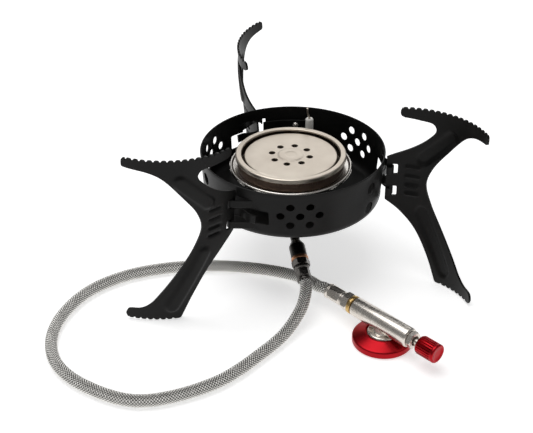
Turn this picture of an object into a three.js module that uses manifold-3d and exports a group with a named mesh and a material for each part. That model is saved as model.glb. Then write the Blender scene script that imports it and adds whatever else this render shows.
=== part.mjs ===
// Canister stove: folding tripod legs, pressed bowl, burner, braided hose and
// a remote canister valve.  Millimetres, +Z up, camera side is -Y.
import * as THREE from 'three';
import { mergeVertices } from 'three/examples/jsm/utils/BufferGeometryUtils.js';
import Module from 'manifold-3d';

const wasm = await Module();
wasm.setup();

// ---------------------------------------------------------------- dimensions
const FIT_GAP = 0.3;           // air between two pieces that rest on each other
const RUN_GAP = 0.05;          // radial air round a turning shaft

const BOWL_R = 64;             // outside radius of the pressed bowl at its rim
const WALL_TAPER = 0.07;       // the wall draws in this much per mm below the rim
const BOWL_WALL = 0.9;
const BOWL_TOP = 91.3;
const BOWL_BASE = 55;
const BOWL_CORNER = 6;
const BOWL_STEPS = 60;
const RING_STEPS = 40;         // facets round the burner's rings

const LEG_AZIMUTHS = { leg_a: -36.7, leg_b: 83.3, leg_c: 203.3 };
const CLUSTER_AZIMUTHS = [4.9, 131.3, 248.6];   // small air holes
const PAIR_AZIMUTHS = [-68, 57];                // large air holes
const HINGE_OUT = 2.5;         // hinge axis outside the bowl wall
const LEG_THICK = 1.6;
const LEG_SWING = { leg_a: -3.4, leg_b: -1.35, leg_c: 3.15 };   // play about each hinge
const LEG_CURVE_R = 60.2;      // plan radius the leg plate is rolled to
const LEG_START = { out: 2.01, side: 0.23 };
const LEG_HEADING = 8.1;       // degrees off the radial line at the hinge
const LEG_LEAN = 0.093;        // sideways run per mm of height
const LEAN_HEIGHT = 75;
const CHORD_HEADING = -31;     // direction the plate's outline is cut along
const SLOT_HEADING = 4;        // and its slots
const TOOTH_PITCH = 4.4;
const TOOTH_DEPTH = 1.3;
const SLOT_HEIGHTS = [63.8, 80.2];
const SLOT_SIZE = { start: 2, end: 6.8, tall: 7.4 };
const TAB = { low: 68.2, high: 74.4 };       // the leg's tab, in the bowl's window

const FINGER_TALL = 5.4;
const HOOK_R = 3.3;            // centre line of the curl round the leg
const WINDOW_END = 24;         // how far round the wall each hinge window reaches
const FINGER_ROOT = 14;        // sideways distance of the finger's root

const BURNER = { x: -1.3, y: -1.2 };            // the burner stands a little off centre
const PAN_R = 42.7;
const BAND_R = 37.2;
const RING_R = 38.4;
const CAP_R = 32.2;
const CAP_HOLES_TURN = 33.6;   // azimuth of the first of the cap's eight holes
const BURNER_TOP = 88.5;

const FEED_START = new THREE.Vector3(-4, 0, 48);
const FEED_DIR = new THREE.Vector3(0.201, -0.884, -0.423).normalize();
const HOSE_D = 8.4;

const VALVE_START = new THREE.Vector3(25.3, -61.1, 15);
const VALVE_DIR = new THREE.Vector3(0.702, -0.712, 0).normalize();
const VALVE_R = 6.7;
const DISC_AT = 50.3;          // how far along the valve its connector stands
const THREAD_R = 5.56;         // 7/16 inch UNEF canister thread
const DISC_R = 20.2;

const IGNITER = { x: 11.8, y: 47 };
const PIEZO_AZIMUTH = 150;
const PIEZO_Z = 46;

// ----------------------------------------------------------------- materials
const finish = (color, metalness, roughness) =>
  new THREE.MeshStandardMaterial({ color, metalness, roughness });

const BLACK = finish(0x1d1d1d, 0.6, 0.5);
const STEEL = finish(0xc9c2b6, 0.9, 0.35);
const HEATED = finish(0x4a3a30, 0.8, 0.5);
const DARK_NICKEL = finish(0x2b2a29, 0.9, 0.35);
const NICKEL = finish(0xbcb6ac, 0.95, 0.25);
const BRASS = finish(0xb08a45, 0.9, 0.3);
const COPPER = finish(0xa8623a, 0.9, 0.35);
const BRAID = finish(0xaaa7a0, 0.9, 0.4);
const RED = finish(0xa81c22, 0.7, 0.35);
const CERAMIC = finish(0xece8e0, 0, 0.4);
const RUBBER = finish(0x161616, 0, 0.8);
const PLASTIC = finish(0x202020, 0, 0.6);

// ------------------------------------------------------------------- helpers
const rad = THREE.MathUtils.degToRad;

function toSolid(geometry) {
  const plain = geometry.clone();
  plain.deleteAttribute('normal');
  plain.deleteAttribute('uv');
  const merged = mergeVertices(plain, 1e-4);
  const mesh = new wasm.Mesh({
    numProp: 3,
    vertProperties: new Float32Array(merged.attributes.position.array),
    triVerts: new Uint32Array(merged.index.array),
  });
  return new wasm.Manifold(mesh);
}

function toGeometry(solid) {
  const mesh = solid.getMesh();
  const geometry = new THREE.BufferGeometry();
  geometry.setAttribute('position', new THREE.BufferAttribute(mesh.vertProperties, 3));
  geometry.setIndex(new THREE.BufferAttribute(mesh.triVerts, 1));
  geometry.computeVertexNormals();
  return geometry;
}

// One body made of everything in `parts` with everything in `cuts` taken away.
function carve(parts, cuts = []) {
  let solid = wasm.Manifold.union(parts.map(toSolid));
  if (cuts.length > 0) {
    solid = solid.subtract(wasm.Manifold.union(cuts.map(toSolid)));
  }
  return toGeometry(solid);
}

// A turned shape: [radius, height] pairs swept round the Z axis.
function turn(profile, steps = 24) {
  const points = profile.map(([r, z]) => new THREE.Vector2(r, z));
  return new THREE.LatheGeometry(points, steps).rotateX(Math.PI / 2);
}

// A turned ring between two radii and two heights.
function tube(inner, outer, low, high, steps = 24) {
  return turn([[inner, low], [outer, low], [outer, high], [inner, high], [inner, low]], steps);
}

function rod(radius, low, high, steps = 20) {
  return turn([[0, low], [radius, low], [radius, high], [0, high]], steps);
}

function hexBar(acrossFlats, low, high) {
  return rod(acrossFlats / 2 / Math.cos(Math.PI / 6), low, high, 6);
}

function box(x0, x1, y0, y1, z0, z1) {
  const block = new THREE.BoxGeometry(x1 - x0, y1 - y0, z1 - z0);
  return block.translate((x0 + x1) / 2, (y0 + y1) / 2, (z0 + z1) / 2);
}

// A turned shape made on +Z, moved so its zero is at `origin` and +Z is `direction`.
function along(geometry, origin, direction) {
  const spin = new THREE.Quaternion().setFromUnitVectors(new THREE.Vector3(0, 0, 1), direction);
  return geometry.applyQuaternion(spin).translate(origin.x, origin.y, origin.z);
}

// From hinge axes (x out from the bowl centre, y counter-clockwise) to the frame.
function atAzimuth(geometry, degrees) {
  return geometry.rotateZ(rad(degrees - 90));
}

const outward = (degrees) => new THREE.Vector3(Math.sin(rad(degrees)), -Math.cos(rad(degrees)), 0);

// A strip of sheet standing on its edge: `path` is its plan centre line.
function standingStrip(path, thickness, low, high) {
  const left = [];
  const right = [];
  path.forEach((point, i) => {
    const before = path[Math.max(i - 1, 0)];
    const after = path[Math.min(i + 1, path.length - 1)];
    const across = new THREE.Vector2(before.y - after.y, after.x - before.x).normalize();
    left.push(point.clone().addScaledVector(across, thickness / 2));
    right.push(point.clone().addScaledVector(across, -thickness / 2));
  });
  const outline = new THREE.Shape([...right, ...left.reverse()]);
  const strip = new THREE.ExtrudeGeometry(outline, { depth: high - low, bevelEnabled: false });
  return strip.translate(0, 0, low);
}

const nodes = [];

function add(name, geometry, material, onCord = false) {
  const mesh = new THREE.Mesh(geometry, material);
  mesh.name = name;
  nodes.push({ mesh, onCord });
}

// ----------------------------------------------------------------- the bowl
const wallRadius = (z) => BOWL_R - WALL_TAPER * (BOWL_TOP - z);

function bowlShell() {
  const floorTop = BOWL_BASE + BOWL_WALL;
  const cornerTop = BOWL_BASE + BOWL_CORNER;
  const centre = { r: wallRadius(cornerTop) - BOWL_CORNER, z: cornerTop };
  const corner = (radius, from, to) => [0, 1, 2, 3].map((i) => {
    const angle = rad(from + ((to - from) * i) / 3);
    return [centre.r + radius * Math.cos(angle), centre.z + radius * Math.sin(angle)];
  });
  return turn([
    [0, BOWL_BASE],
    ...corner(BOWL_CORNER, -90, 0),
    [BOWL_R, BOWL_TOP],
    [BOWL_R - BOWL_WALL, BOWL_TOP],
    ...corner(BOWL_CORNER - BOWL_WALL, 0, -90),
    [0, floorTop],
  ], BOWL_STEPS);
}

// A round hole through the bowl wall at a given azimuth and height.
function wallHole(degrees, z, radius) {
  const hole = rod(radius, BOWL_R - 12, BOWL_R + 4, 8);
  return along(hole, new THREE.Vector3(0, 0, z), outward(degrees));
}

// Seven air holes at one azimuth: two, three and two in rows.
function holeCluster(clusterAt) {
  const middle = 74.3;
  const rowRise = 7;
  const step = THREE.MathUtils.radToDeg(13.3 / BOWL_R);
  const rows = [[rowRise, [-0.5, 0.5]], [0, [-1, 0, 1]], [-rowRise, [-0.5, 0.5]]];
  return rows.flatMap(([rise, places]) =>
    places.map((place) => wallHole(clusterAt + place * step, middle + rise, 2.8)));
}

// Two large holes, one above the other.
const holePair = (azimuth) => [64.5, 80].map((z) => wallHole(azimuth, z, 4.35));

// The opening the fingers are pressed out of; it also clears the leg's tab.
function hingeWindow(hinge) {
  const near = box(50, 75, -5, FINGER_ROOT - 0.5, 60.4, 83.6);
  const far = box(50, 75, 0, WINDOW_END, 66.2, 76.6);
  return [near, far].map((cut) => atAzimuth(cut, hinge));
}

function wallPoint(side, z) {
  const middle = wallRadius(z) - BOWL_WALL / 2;
  return new THREE.Vector2(Math.sqrt(middle * middle - side * side), side);
}

// A finger leaves the wall in a straight line and curls round the leg's edge.
function finger(hinge, middle) {
  const centre = new THREE.Vector2(BOWL_R + HINGE_OUT, 0);
  const root = wallPoint(FINGER_ROOT, middle);
  const reach = root.clone().sub(centre);
  const tangentAt = reach.angle() - Math.acos(HOOK_R / reach.length());
  const curlEnd = rad(-110);
  const steps = 10;
  const curl = Array.from({ length: steps + 1 }, (_, i) => {
    const angle = tangentAt + ((curlEnd - tangentAt) * i) / steps;
    return new THREE.Vector2(HOOK_R * Math.cos(angle), HOOK_R * Math.sin(angle)).add(centre);
  });
  const path = [wallPoint(FINGER_ROOT + 1.5, middle), root, ...curl];
  const half = FINGER_TALL / 2;
  return atAzimuth(standingStrip(path, BOWL_WALL, middle - half, middle + half), hinge);
}

function bowl() {
  const hinges = Object.values(LEG_AZIMUTHS);
  const shell = carve([bowlShell()], [
    ...CLUSTER_AZIMUTHS.flatMap(holeCluster),
    ...PAIR_AZIMUTHS.flatMap(holePair),
    ...hinges.flatMap(hingeWindow),
    onBurner(rod(8.2, 50, 60, 24)),
    wallHole(RIVET_AZIMUTH, RIVET_Z, RIVET_R + FIT_GAP),
    rod(LEAD_R + 1.1, 50, 60, 16).translate(IGNITER.x, IGNITER.y, 0),
    piezoScrewHole(),
  ]);
  const fingers = hinges.flatMap((hinge) => SLOT_HEIGHTS.map((z) => finger(hinge, z)));
  return carve([shell, ...fingers]);
}

// ----------------------------------------------------------------- the legs
// Where the plate's middle surface is in plan, `s` mm along it from the hinge.
function legPlan(s) {
  const start = rad(LEG_HEADING);
  const now = start - s / LEG_CURVE_R;
  const out = LEG_START.out + LEG_CURVE_R * (Math.sin(start) - Math.sin(now));
  const side = LEG_START.side + LEG_CURVE_R * (Math.cos(now) - Math.cos(start));
  return new THREE.Vector2(BOWL_R + out, side);
}

function toothedEdge(from, to, depth) {
  const length = from.distanceTo(to);
  const count = Math.round(length / TOOTH_PITCH);
  const inward = new THREE.Vector2(to.y - from.y, from.x - to.x).normalize();
  const points = [];
  for (let i = 0; i < count; i += 1) {
    const step = (fraction) => from.clone().lerp(to, (i + fraction) / count);
    points.push(step(0.2), step(0.6), step(0.85).addScaledVector(inward, depth));
  }
  return points;
}

// Flat outline of a leg: x runs along the plate from the hinge, y is height.
function legOutline() {
  const v = (x, y) => new THREE.Vector2(x, y);
  const shape = new THREE.Shape();
  shape.moveTo(-1, 57.2);
  shape.lineTo(-1, 89);
  shape.splineThru([v(15, 96.2), v(26, 104.5), v(32, 112.6), v(30, 116.4), v(20, 117.6)]);
  shape.lineTo(9.4, 118.5);
  shape.quadraticCurveTo(6.2, 122, 7.2, 125.2);
  toothedEdge(v(7.6, 125.4), v(79.6, 128.5), TOOTH_DEPTH).forEach((p) => shape.lineTo(p.x, p.y));
  shape.quadraticCurveTo(81.6, 127.8, 81.4, 125);
  shape.quadraticCurveTo(81.2, 122, 79, 121.8);
  shape.splineThru([v(64, 118.8), v(55.3, 114), v(42, 98.8), v(31, 83.1), v(27.5, 71.5)]);
  shape.splineThru([v(31.7, 58), v(40.5, 42.6), v(53.8, 22.8), v(61, 13.6), v(67, 9.9)]);
  shape.lineTo(73.6, 9.2);
  shape.quadraticCurveTo(77.2, 8, 76.8, 3.6);
  toothedEdge(v(75.2, 1.6), v(45, 0), 1).forEach((p) => shape.lineTo(p.x, p.y));
  shape.lineTo(40.6, 0);
  shape.lineTo(39.4, 1);
  shape.splineThru([v(31.6, 18.8), v(21, 37), v(9, 49.6), v(-1, 57.2)]);
  return shape.extractPoints(3).shape;
}

function prism(points, direction, depth) {
  const outline = new THREE.Shape(points);
  const solid = new THREE.ExtrudeGeometry(outline, { depth, bevelEnabled: false });
  solid.translate(0, 0, -depth / 2);
  const across = new THREE.Vector3(Math.cos(direction), Math.sin(direction), 0);
  const normal = new THREE.Vector3(Math.sin(direction), -Math.cos(direction), 0);
  const basis = new THREE.Matrix4().makeBasis(across, new THREE.Vector3(0, 0, 1), normal);
  return solid.applyMatrix4(basis);
}

// The plate is cut along its chord, so flat lengths become chord lengths here.
function legCutter(points, degrees) {
  const heading = rad(degrees);
  const chord = points.map((point) => {
    const plan = legPlan(point.x);
    return new THREE.Vector2(plan.x * Math.cos(heading) + plan.y * Math.sin(heading), point.y);
  });
  return prism(chord, heading, 240);
}

function slotPoints(middle) {
  const half = SLOT_SIZE.tall / 2;
  const { start, end } = SLOT_SIZE;
  const corner = 0.9;
  return [
    [start, middle - half], [end - corner, middle - half], [end, middle - half + corner],
    [end, middle + half - corner], [end - corner, middle + half], [start, middle + half],
  ].map(([x, y]) => new THREE.Vector2(x, y));
}

// The tab reaches from the hinge into the bowl's window, in line with the wall.
function legTab() {
  const curve = new THREE.SplineCurve([
    legPlan(0.8),
    new THREE.Vector2(BOWL_R + 0.6, 0.5),
    new THREE.Vector2(BOWL_R - 1.4, 3.2),
    new THREE.Vector2(BOWL_R - 1.7, 6.6),
    new THREE.Vector2(BOWL_R - 0.7, 10.4),
    new THREE.Vector2(BOWL_R - 0.4, 14),
    new THREE.Vector2(BOWL_R - 1.4, 17.8),
  ]);
  return standingStrip(curve.getPoints(18), 1.2, TAB.low, TAB.high);
}

function legPlate() {
  const steps = 12;
  const path = Array.from({ length: steps + 1 }, (_, i) => legPlan(-3 + (88 * i) / steps));
  const sheet = toSolid(standingStrip(path, LEG_THICK, -2, 132));
  const outline = toSolid(legCutter(legOutline(), CHORD_HEADING));
  const slotCutters = SLOT_HEIGHTS.map((z) => toSolid(legCutter(slotPoints(z), SLOT_HEADING)));
  const slots = wasm.Manifold.union(slotCutters);
  const cut = sheet.intersect(outline).subtract(slots);
  const geometry = toGeometry(cut.add(toSolid(legTab())));
  const lean = new THREE.Matrix4().set(
    1, 0, 0, 0,
    0, 1, LEG_LEAN, -LEG_LEAN * LEAN_HEIGHT,
    0, 0, 1, 0,
    0, 0, 0, 1,
  );
  return geometry.applyMatrix4(lean);
}

function swungLeg(degrees) {
  const hingeOut = BOWL_R + HINGE_OUT;
  return legPlate().translate(-hingeOut, 0, 0).rotateZ(rad(degrees)).translate(hingeOut, 0, 0);
}

// --------------------------------------------------------------- the burner
function onBurner(geometry) {
  return geometry.translate(BURNER.x, BURNER.y, 0);
}

function mixingTube() {
  return turn([
    [7, 52.3], [7.9, 52.3], [7.9, 56.2], [10.5, 56.2], [10.5, 58], [7.9, 58],
    [7.9, 66.6], [12, 68.2], [12, 69.3], [7, 69.3], [7, 52.3],
  ], 24);
}

function lockNut() {
  return carve([hexBar(22, 52.4, 54.6)], [rod(8.2, 50, 58, 24)]);
}

function burnerPan() {
  return turn([
    [6.8, 69.6], [33, 69.6], [36.6, 72.6], [36.6, 77.4], [40.9, 77.4], [PAN_R, 78.6],
    [41.9, 80.4], [40.5, 78.6], [35.8, 78.6], [35.8, 73], [32.7, 70.5], [6.8, 70.5], [6.8, 69.6],
  ], RING_STEPS);
}

function diffuser() {
  const wall = tube(30, 30.8, 70.8, 85.1, 32);
  const slot = () => box(26, 34, -1.2, 1.2, 76, 84);
  const slots = Array.from({ length: 16 }, (_, i) => slot().rotateZ((i * Math.PI) / 8));
  return carve([wall], slots);
}

function sideBand() {
  return tube(BAND_R - 0.8, BAND_R, 78.9, 86.6, RING_STEPS);
}

function topRing() {
  return turn([
    [34.3, 86.9], [37.6, 86.9], [37.6, 85.4], [RING_R, 85.4], [RING_R, 87.8],
    [37.6, BURNER_TOP], [34.9, BURNER_TOP], [34.3, 87.9], [34.3, 86.9],
  ], RING_STEPS);
}

function burnerCap() {
  const disc = turn([
    [0, 85.4], [31.4, 85.4], [31.4, 83.5], [CAP_R, 83.5], [CAP_R, 86.2], [31.7, 86.7],
    [9, 86.7], [7.6, 87.2], [0, 87.3],
  ], RING_STEPS);
  const holes = Array.from({ length: 8 }, (_, i) => {
    const angle = rad(CAP_HOLES_TURN + 45 * i);
    return rod(2.3, 80, 95, 12).translate(13.3 * Math.cos(angle), 13.3 * Math.sin(angle), 0);
  });
  return carve([disc], holes);
}

// -------------------------------------------------------- jet and gas feed
const feed = (geometry) => along(geometry, FEED_START, FEED_DIR);

function jetBody() {
  const pot = onBurner(rod(6.7, 41, 53.6, 24));
  const arm = feed(turn([
    [0, 6.5], [3.25, 6.5], [3.25, 33.3], [5.65, 37.6], [5.65, 46.8], [0, 46.8],
  ], 24));
  const potBore = onBurner(rod(5.2, 48.3, 60, 24));
  const jetBore = onBurner(rod(2.35, 43, 49, 20));
  const gasBore = feed(rod(1.3, 2, 40, 12));
  const nippleBore = feed(rod(3.2, 38.5, 48, 20));
  const ports = [0, 90].map((turned) =>
    onBurner(rod(1.3, -12, 12, 8).rotateX(Math.PI / 2).rotateZ(rad(turned)).translate(0, 0, 50.2)));
  return carve([pot, arm], [potBore, jetBore, gasBore, nippleBore, ...ports]);
}

function jet() {
  const shank = rod(2, 46.8, 48.8);
  const head = hexBar(6.4, 48.6, 50.4);
  const nose = turn([[0, 50.2], [2.4, 50.2], [1.5, 51.8], [0, 51.8]], 20);
  return onBurner(carve([shank, head, nose], [rod(0.5, 40, 55, 8)]));
}

// The hexagon that screws a hose end on, with the nipple that reaches past it.
function hoseNut(hexLow, hexHigh, nippleEnd, acrossFlats) {
  const nipple = rod(2.9, Math.min(nippleEnd, hexLow), Math.max(nippleEnd, hexHigh), 20);
  return carve([hexBar(acrossFlats, hexLow, hexHigh), nipple], [rod(1.4, -10, 90, 12)]);
}

// Crimped sleeve over the end of the braid, with a rolled groove at each end.
function crimpSleeve(low, high, radius) {
  const grooveDepth = 0.6;
  const edge = 1.5;
  const bore = 1.4;
  return turn([
    [bore, low], [radius, low], [radius, low + edge], [radius - grooveDepth, low + edge * 1.6],
    [radius, low + edge * 2.2], [radius, high - edge * 2.2],
    [radius - grooveDepth, high - edge * 1.6], [radius, high - edge],
    [radius, high], [bore, high], [bore, low],
  ], 20);
}

// ----------------------------------------------------------------- the hose
const feedPoint = (t) => FEED_START.clone().addScaledVector(FEED_DIR, t);
const valvePoint = (t) => VALVE_START.clone().addScaledVector(VALVE_DIR, t);
const HOSE_FROM = 65.9;

// The hose leaves the burner, drops to the ground, loops round on the left and
// comes back under the burner's fitting to the valve.
function hosePath() {
  const ground = HOSE_D / 2 + 0.1;
  const loop = [
    [-15, -113], [-48, -149], [-93.5, -166.5], [-129, -152.5], [-149, -132.5],
    [-157, -109], [-155, -81], [-141, -51.5], [-119, -32.5], [-91, -21.5], [-57, -17.3],
    [-28, -19.5],
  ].map(([x, y]) => new THREE.Vector3(x, y, ground));
  return new THREE.CatmullRomCurve3([
    feedPoint(HOSE_FROM),
    feedPoint(HOSE_FROM + 4),
    new THREE.Vector3(7.8, -76, 13.2),
    new THREE.Vector3(2.4, -87.5, 8.6),
    new THREE.Vector3(-4.6, -99, 5.4),
    ...loop,
    new THREE.Vector3(-4, -27, 5.2),
    new THREE.Vector3(11, -41, 9.6),
    valvePoint(-9).setZ(VALVE_START.z - 1.4),
    valvePoint(-4),
    valvePoint(0),
  ], false, 'centripetal');
}

function hose() {
  const sides = 8;
  const section = new THREE.Shape(Array.from({ length: sides }, (_, i) => {
    const angle = (i * 2 * Math.PI) / sides;
    return new THREE.Vector2(Math.cos(angle), Math.sin(angle)).multiplyScalar(HOSE_D / 2);
  }));
  return new THREE.ExtrudeGeometry(section, { steps: 72, extrudePath: hosePath() });
}

// ------------------------------------------------------- the canister valve
const valve = (geometry) => along(geometry, VALVE_START, VALVE_DIR);
const onDisc = (geometry) => {
  const centre = valvePoint(DISC_AT);
  return geometry.translate(centre.x, centre.y, 0);
};

function valveBody() {
  const barrel = valve(turn([
    [0, 25.1], [5.6, 25.1], [VALVE_R, 26.2], [VALVE_R, 73], [6, 74], [0, 74],
  ], 24));
  const hub = onDisc(turn([
    [0, 1.2], [10.3, 1.2], [10.3, 7.9], [9.6, 8.6], [6.4, 9], [6.4, 13], [0, 13],
  ], 24));
  const glandBore = valve(rod(4.6, 64, 76, 24));
  const needleBore = valve(rod(2.35, DISC_AT - 1, 65, 20));
  const gasBore = valve(rod(1.3, 24, DISC_AT, 12));
  const nippleBore = valve(rod(3.2, 24, 34, 20));
  const socket = onDisc(rod(THREAD_R, 0, 9.5, 24));
  const pinBore = onDisc(rod(1.6, 9, 13, 16));
  const gasUp = onDisc(rod(1.1, 12, 15, 12));
  return carve([barrel, hub], [glandBore, needleBore, gasBore, nippleBore, socket, pinBore, gasUp]);
}

function connectorDisc() {
  return turn([
    [10.6, 2.8], [16.6, 2.8], [17.4, 0], [19.6, 0], [DISC_R, 0.6], [DISC_R, 4.3], [19.6, 5],
    [12.4, 7.5], [10.6, 7.8], [10.6, 2.8],
  ], RING_STEPS);
}

function ringSeal(middleR, sectionR, z) {
  return new THREE.TorusGeometry(middleR, sectionR, 6, 20).translate(0, 0, z);
}

function glandNut() {
  const solid = [hexBar(10.4, 74.3, 77.8), rod(4.3, 68, 74.6)];
  return carve(solid, [rod(2.3 + RUN_GAP, 60, 80), rod(3.5, 75.4, 80)]);
}

function spindle() {
  return turn([
    [0, 52.5], [0.6, 52.5], [1.9, 56], [1.9, 64.8], [2.3, 65], [2.3, 90], [0, 90],
  ], 28);
}

function knob() {
  const ridges = 26;
  const outer = 6.5;
  const root = 6.05;
  const outline = Array.from({ length: ridges * 2 }, (_, i) => {
    const angle = (i * Math.PI) / ridges;
    const radius = i % 2 === 0 ? outer : root;
    return new THREE.Vector2(radius * Math.cos(angle), radius * Math.sin(angle));
  });
  const depth = 11.4;
  const grip = new THREE.ExtrudeGeometry(new THREE.Shape(outline), { depth, bevelEnabled: false });
  grip.translate(0, 0, 82.8);
  const core = turn([
    [0, 82], [5.4, 82], [6, 82.8], [6, 94], [6.45, 94], [6.45, 96.2], [5.8, 96.9],
    [4.6, 96.9], [4.2, 96.5], [0, 96.5],
  ], 26);
  return carve([grip, core], [rod(2.3 + RUN_GAP, 81, 90.3)]);
}

// -------------------------------------------------------------- the igniter
const RIVET_AZIMUTH = 178.2;
const RIVET_Z = 78.2;
const RIVET_R = 1.3;
const LEAD_R = 0.9;
const STRIP_R = 60.7;

const azimuthPoint = (degrees, radius) => {
  const direction = outward(degrees);
  return new THREE.Vector2(direction.x * radius, direction.y * radius);
};

// A curved strip along the back wall with a shelf that holds the ceramic.
function igniterBracket() {
  const from = 168;
  const to = 201;
  const steps = 14;
  const path = Array.from({ length: steps + 1 }, (_, i) =>
    azimuthPoint(from + ((to - from) * i) / steps, STRIP_R));
  const strip = standingStrip(path, 1, 73, 81.8);
  const shelf = box(IGNITER.x - 5, IGNITER.x + 5, IGNITER.y - 4.5, 59, 73, 74.2);
  const rivetHole = along(rod(RIVET_R + FIT_GAP, 55, 70, 16),
    new THREE.Vector3(0, 0, RIVET_Z), outward(RIVET_AZIMUTH));
  const ceramicHole = rod(2.4, 60, 80, 20).translate(IGNITER.x, IGNITER.y, 0);
  return carve([strip, shelf], [rivetHole, ceramicHole]);
}

function igniterRivet() {
  const head = turn([[0, 57.7], [1.6, 58.1], [2.3, 59.1], [2.3, 59.9], [0, 59.9]], 20);
  const shank = rod(RIVET_R, 59.9, 64, 20);
  const tail = turn([[0, 63.4], [2.1, 63.4], [1.8, 64.1], [0, 64.4]], 20);
  const rivet = carve([head, shank, tail]);
  return along(rivet, new THREE.Vector3(0, 0, RIVET_Z), outward(RIVET_AZIMUTH));
}

function igniterCeramic() {
  const body = turn([
    [1, 62], [2.1, 62], [2.1, 74.5], [3.4, 74.5], [3.4, 76.3], [2.9, 77], [2.9, 89.4], [2.1, 90.4],
    [1, 90.4], [1, 62],
  ], 24);
  return body.translate(IGNITER.x, IGNITER.y, 0);
}

function wireAlong(curve, radius, steps) {
  const section = new THREE.Shape(Array.from({ length: 8 }, (_, i) =>
    new THREE.Vector2(Math.cos((i * Math.PI) / 4), Math.sin((i * Math.PI) / 4))
      .multiplyScalar(radius)));
  return new THREE.ExtrudeGeometry(section, { steps, extrudePath: curve });
}

function igniterWire() {
  const { x, y } = IGNITER;
  return wireAlong(new THREE.CatmullRomCurve3([
    new THREE.Vector3(x, y, 66),
    new THREE.Vector3(x, y, 89.5),
    new THREE.Vector3(x, y, 90.8),
    new THREE.Vector3(x - 1.4, y - 0.8, 94.5),
    new THREE.Vector3(x - 1.6, y - 2.4, 99.5),
  ]), 0.7, 14);
}

function igniterLead() {
  const { x, y } = IGNITER;
  const inner = outward(PIEZO_AZIMUTH).multiplyScalar(23.6);
  return wireAlong(new THREE.CatmullRomCurve3([
    new THREE.Vector3(x, y, 61.6),
    new THREE.Vector3(x, y, 55),
    new THREE.Vector3(x - 1.5, y - 3, 50),
    new THREE.Vector3(7, 34, 47),
    new THREE.Vector3(6.5, 24, 46.4),
    new THREE.Vector3(inner.x - 4, inner.y - 6, PIEZO_Z),
    new THREE.Vector3(inner.x - 1.4, inner.y - 2.4, PIEZO_Z),
    new THREE.Vector3(inner.x, inner.y, PIEZO_Z),
  ]), LEAD_R, 24);
}

const piezo = (geometry) =>
  along(geometry, new THREE.Vector3(0, 0, PIEZO_Z), outward(PIEZO_AZIMUTH));

function piezoHousing() {
  const body = piezo(rod(5.4, 24, 52, 28));
  const saddle = atAzimuth(box(33, 45, -5, 5, PIEZO_Z, BOWL_BASE - FIT_GAP), PIEZO_AZIMUTH);
  const buttonBore = piezo(rod(3, 40, 54, 24));
  const screwBore = atAzimuth(rod(1.65, 50.5, 57, 16).translate(36.5, 0, 0), PIEZO_AZIMUTH);
  return carve([body, saddle], [buttonBore, screwBore]);
}

function piezoScrewHole() {
  return atAzimuth(rod(1.65, 50, 60, 16).translate(36.5, 0, 0), PIEZO_AZIMUTH);
}

function piezoScrew() {
  const screw = turn([[0, 51], [1.35, 51], [1.35, 56.2], [2.7, 56.2], [2.7, 57], [2, 57.8], [0, 57.8]], 20);
  return atAzimuth(screw.translate(36.5, 0, 0), PIEZO_AZIMUTH);
}

function piezoButton() {
  return piezo(turn([
    [0, 46], [2.9, 46], [2.9, 57.6], [4.2, 57.6], [4.2, 60.6], [3.4, 61.4], [0, 61.6],
  ], 24));
}

// ----------------------------------------------------------------- assembly
add('bowl', bowl(), BLACK);
for (const [name, azimuth] of Object.entries(LEG_AZIMUTHS)) {
  add(name, atAzimuth(swungLeg(LEG_SWING[name]), azimuth), BLACK);
}
add('mixing_tube', onBurner(mixingTube()), STEEL);
add('lock_nut', onBurner(lockNut()), STEEL);
add('burner_pan', onBurner(burnerPan()), STEEL);
add('diffuser', onBurner(diffuser()), STEEL);
add('side_band', onBurner(sideBand()), HEATED);
add('top_ring', onBurner(topRing()), STEEL);
add('burner_cap', onBurner(burnerCap()), STEEL);
add('jet_body', jetBody(), DARK_NICKEL);
add('jet', jet(), BRASS);
add('igniter_bracket', igniterBracket(), BLACK);
add('igniter_rivet', igniterRivet(), STEEL);
add('igniter_ceramic', igniterCeramic(), CERAMIC);
add('igniter_wire', igniterWire(), STEEL);
add('igniter_lead', igniterLead(), RUBBER);
add('piezo_housing', piezoHousing(), PLASTIC);
add('piezo_screw', piezoScrew(), STEEL);
add('piezo_button', piezoButton(), PLASTIC);

const ON_CORD = true;
add('feed_seal', feed(tube(3.2, 6, 47.1, 49.4)), COPPER);
add('feed_nut', feed(hoseNut(49.7, 54.3, 40, 11.2)), NICKEL);
add('feed_sleeve', feed(crimpSleeve(54.6, 65.6, 5.2)), NICKEL);
add('hose', hose(), BRAID, ON_CORD);
add('valve_sleeve', valve(crimpSleeve(0.5, 16, 5.4)), NICKEL, ON_CORD);
add('valve_nut', valve(hoseNut(16.3, 21.5, 32, 11.4)), NICKEL, ON_CORD);
add('valve_seal', valve(tube(3.2, 6.5, 21.8, 24.8)), BRASS, ON_CORD);
add('valve_body', valveBody(), NICKEL, ON_CORD);
add('connector_disc', onDisc(connectorDisc()), RED, ON_CORD);
add('connector_seal', onDisc(ringSeal(4.2, 0.9, 8.3)), RUBBER, ON_CORD);
add('valve_pin', onDisc(rod(1.3, 5.5, 12, 16)), BRASS, ON_CORD);
add('gland_nut', valve(glandNut()), NICKEL, ON_CORD);
add('spindle_seal', valve(ringSeal(3.45, 0.95, 66.2)), RUBBER, ON_CORD);
add('spindle', valve(spindle()), STEEL, ON_CORD);
add('knob', valve(knob()), RED, ON_CORD);

// The frame's origin is under the middle of the stove, without its hose.
const stove = new THREE.Group();
const extent = new THREE.Box3();
for (const { mesh, onCord } of nodes) {
  if (!onCord) extent.expandByObject(mesh);
}
const middle = extent.getCenter(new THREE.Vector3());
for (const { mesh } of nodes) {
  mesh.geometry.translate(-middle.x, -middle.y, -extent.min.z);
  stove.add(mesh);
}

export default stove;
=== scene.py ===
import math

import bmesh
import bpy
from mathutils import Matrix, Quaternion, Vector


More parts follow.
